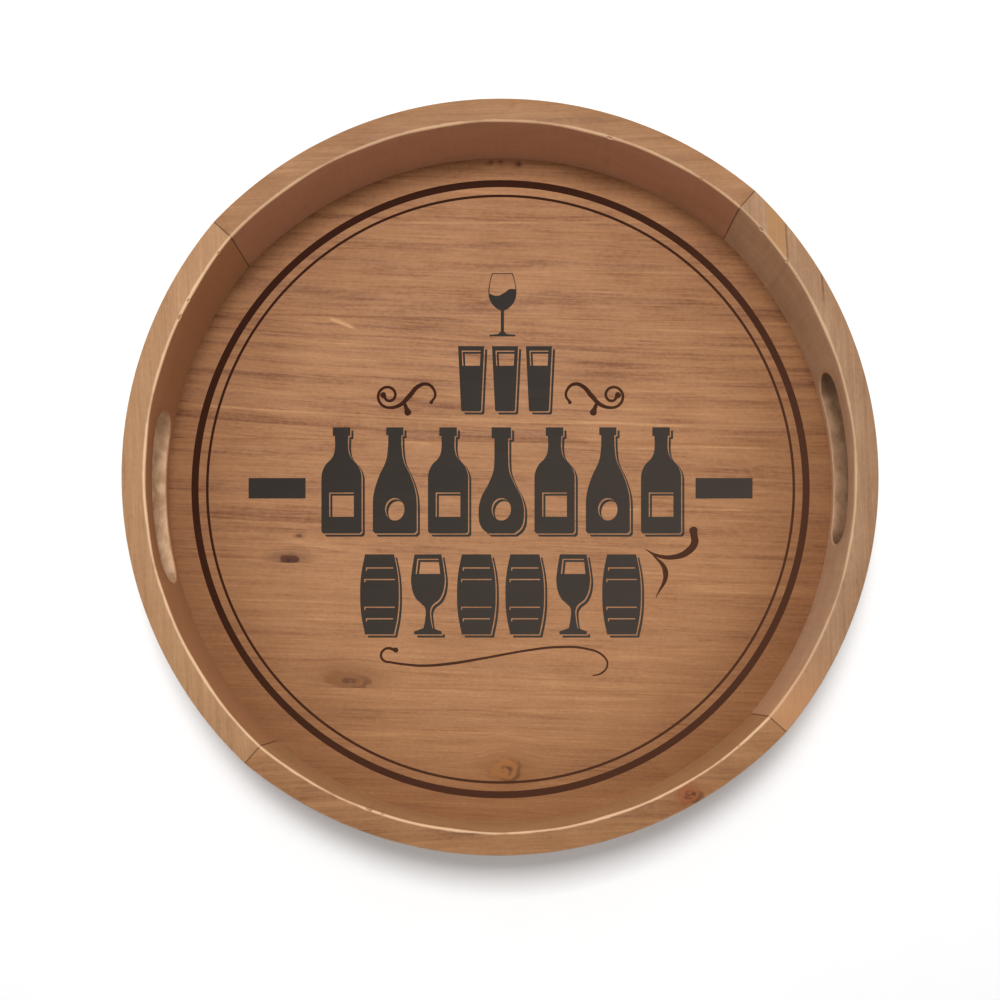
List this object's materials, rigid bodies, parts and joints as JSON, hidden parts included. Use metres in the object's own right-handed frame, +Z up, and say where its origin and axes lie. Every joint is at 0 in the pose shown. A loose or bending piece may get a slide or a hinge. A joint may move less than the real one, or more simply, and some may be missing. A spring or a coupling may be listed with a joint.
{
  "type": "round wooden serving tray",
  "caption": "Round softwood serving tray with a butt-jointed solid rim, a finger slot in each side and a printed floor of edge-glued boards.",
  "frame": {"origin": "on the table, under the middle of the tray", "axes": "+Z up out of the open tray, +X to the right slot along the floor's boards, +Y to the back of the tray, where the print's top is"},
  "size_m": [0.38, 0.38, 0.048],
  "materials": {
    "rim_wood": "satin",
    "floor_wood": "satin",
    "dowel_wood": "matte",
    "brad_steel": "satin",
    "print_ink": "matte"
  },
  "bodies": {
    "root": {"rim_right": "rim_wood", "rim_back": "rim_wood", "rim_left": "rim_wood", "rim_front": "rim_wood", "floor_board_1": "floor_wood", "floor_board_2": "floor_wood", "floor_board_3": "floor_wood", "floor_board_4": "floor_wood", "floor_board_5": "floor_wood", "dowels_back_right": "dowel_wood", "dowels_back_left": "dowel_wood", "dowels_front_left": "dowel_wood", "dowels_front_right": "dowel_wood", "floor_brads": "brad_steel"}
  },
  "joints": []
}
